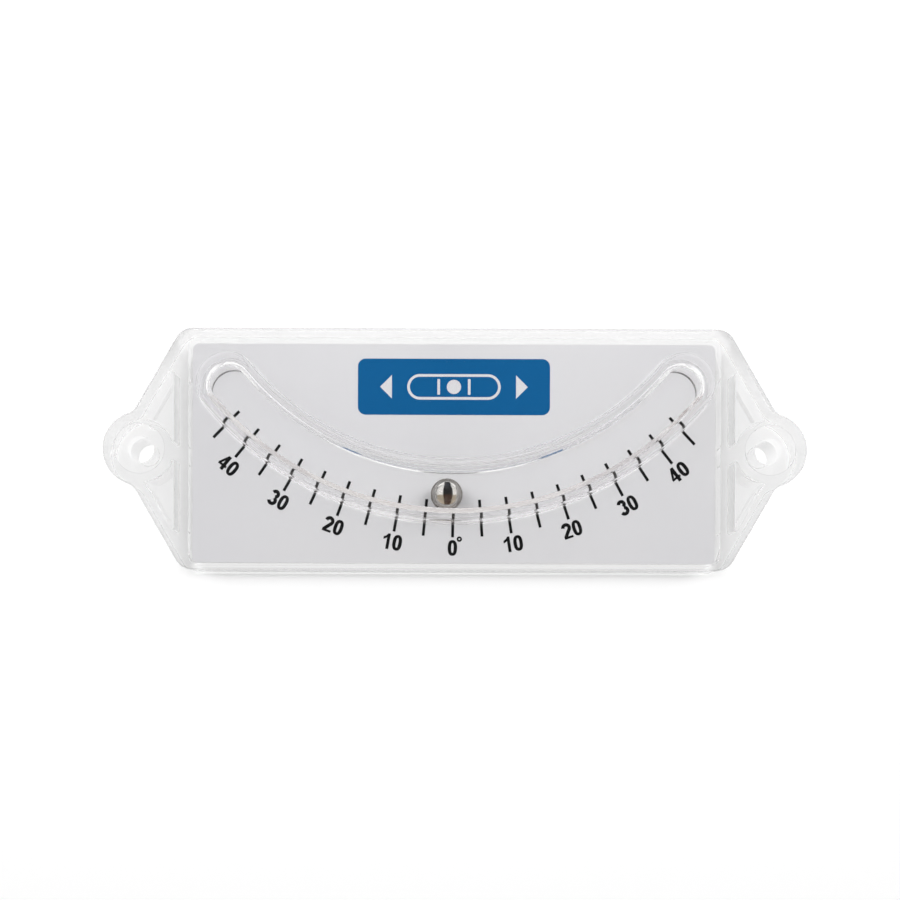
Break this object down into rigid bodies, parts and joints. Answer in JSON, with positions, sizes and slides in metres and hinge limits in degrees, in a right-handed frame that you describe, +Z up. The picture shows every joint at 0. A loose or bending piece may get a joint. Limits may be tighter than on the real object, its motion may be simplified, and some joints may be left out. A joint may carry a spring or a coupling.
{
  "type": "curved ball level",
  "caption": "Clear wall-mounted level for vehicles: a steel ball rolls along a hollow arc-shaped track over a printed degree scale, and round screw ears hold the slanted ends.",
  "frame": {"origin": "on the back face, midway between the two screw holes", "axes": "+X along the length to the right as seen from the front, +Y from the front to the wall, +Z up"},
  "size_m": [0.1396, 0.0127, 0.048],
  "materials": {
    "clear_plastic": "clear, glossy",
    "printed_card": "matt white with printed scale",
    "white_plastic": "satin",
    "polished_steel": "polished"
  },
  "bodies": {
    "housing": {"clear_cover": "clear_plastic", "scale_card": "printed_card", "back_plate": "white_plastic"},
    "ball": {"ball": "polished_steel"}
  },
  "joints": [
    {"name": "ball_roll", "type": "hinge", "parent": "housing", "child": "ball", "pos_m": [0, -0.00707, 0.0497], "axis": [0, -1, 0], "range_deg": [-49.3, 52.3]}
  ]
}
